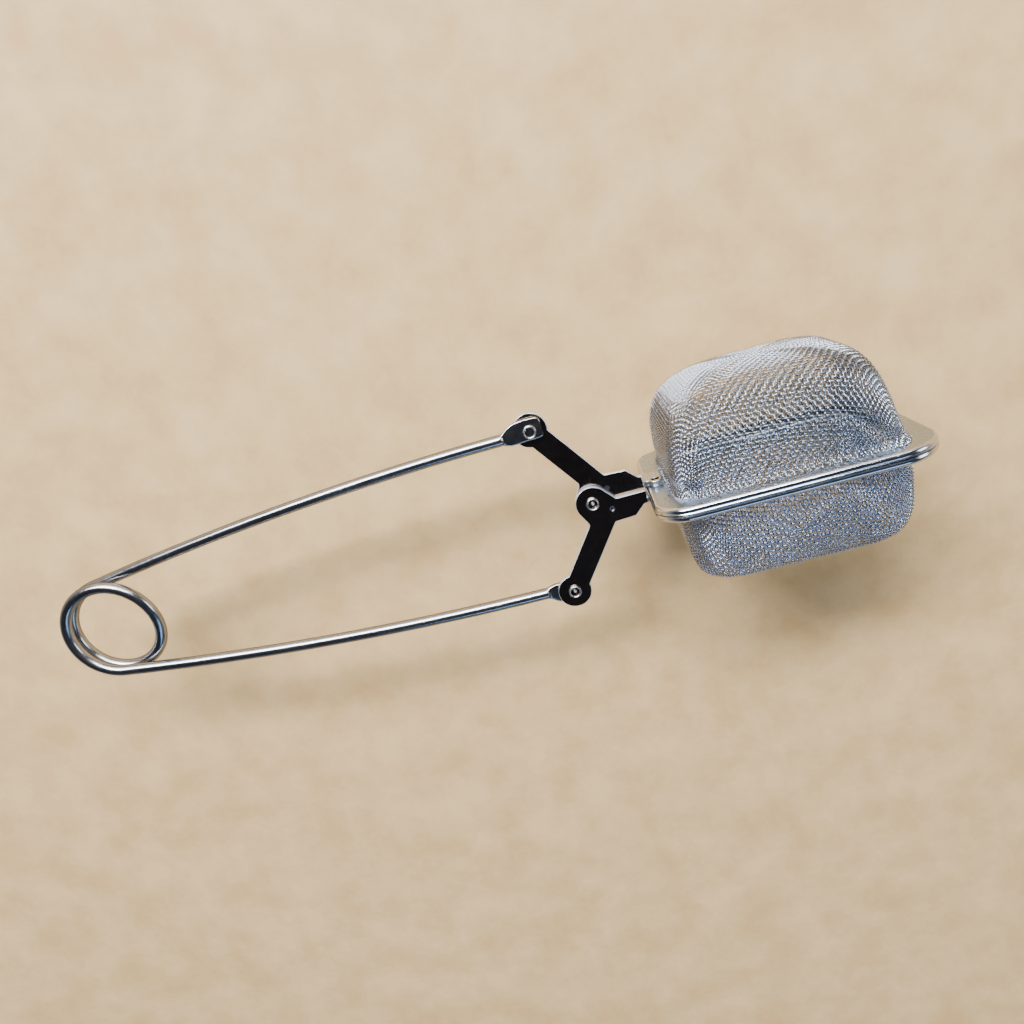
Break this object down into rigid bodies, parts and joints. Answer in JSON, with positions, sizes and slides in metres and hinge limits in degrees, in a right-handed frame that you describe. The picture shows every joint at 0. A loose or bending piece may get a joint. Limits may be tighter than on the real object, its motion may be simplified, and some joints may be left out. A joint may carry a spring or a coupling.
{
  "type": "tea infuser tongs",
  "caption": "Spring wire handle with crossed bell-crank levers that open two mesh half-baskets when it is squeezed.",
  "frame": {"origin": "middle of the bounding box, on the closing plane of the two rims and half way between the two lever plates", "axes": "+X from the handle's spring coil to the basket, +Y the way the upper half opens, +Z along the rivets; the tongs are stored closed"},
  "size_m": [0.165, 0.0386, 0.041],
  "materials": {
    "wire": "polished stainless wire",
    "plate": "polished stainless plate",
    "rivet": "polished stainless rivet",
    "rim": "polished stainless sheet",
    "mesh": "woven stainless wire mesh"
  },
  "bodies": {
    "handle": {"handle_wire_lower": "wire", "lower_arm_rivet": "rivet"},
    "upper_arm": {"handle_wire_upper": "wire", "upper_arm_rivet": "rivet"},
    "lower_half": {"lower_lever": "plate", "pivot_rivet": "rivet", "lower_rim": "rim", "lower_retaining_ring": "rim", "lower_mesh": "mesh"},
    "upper_half": {"upper_lever": "plate", "upper_rim": "rim", "upper_retaining_ring": "rim", "upper_mesh": "mesh"}
  },
  "joints": [
    {"name": "basket_opening", "type": "hinge", "parent": "lower_half", "child": "upper_half", "pos_m": [0.0245, 0, 0], "axis": [0, 0, 1], "range_deg": [0, 50]},
    {"name": "lower_lever_swing", "type": "hinge", "parent": "handle", "child": "lower_half", "pos_m": [0.0169, -0.0161, 0], "axis": [0, 0, 1], "range_deg": [-28.5, 0]},
    {"name": "arm_squeeze", "type": "hinge", "parent": "handle", "child": "upper_arm", "pos_m": [-0.0725, 0, 0], "axis": [0, 0, 1], "range_deg": [-6, 0], "stiffness_Nm_per_rad": 2, "springref_deg": 8.59}
  ],
  "couplings": [
    {"joint": "lower_lever_swing", "follows": "basket_opening", "ratio": -0.5575},
    {"joint": "arm_squeeze", "follows": "basket_opening", "ratio": -0.115}
  ]
}
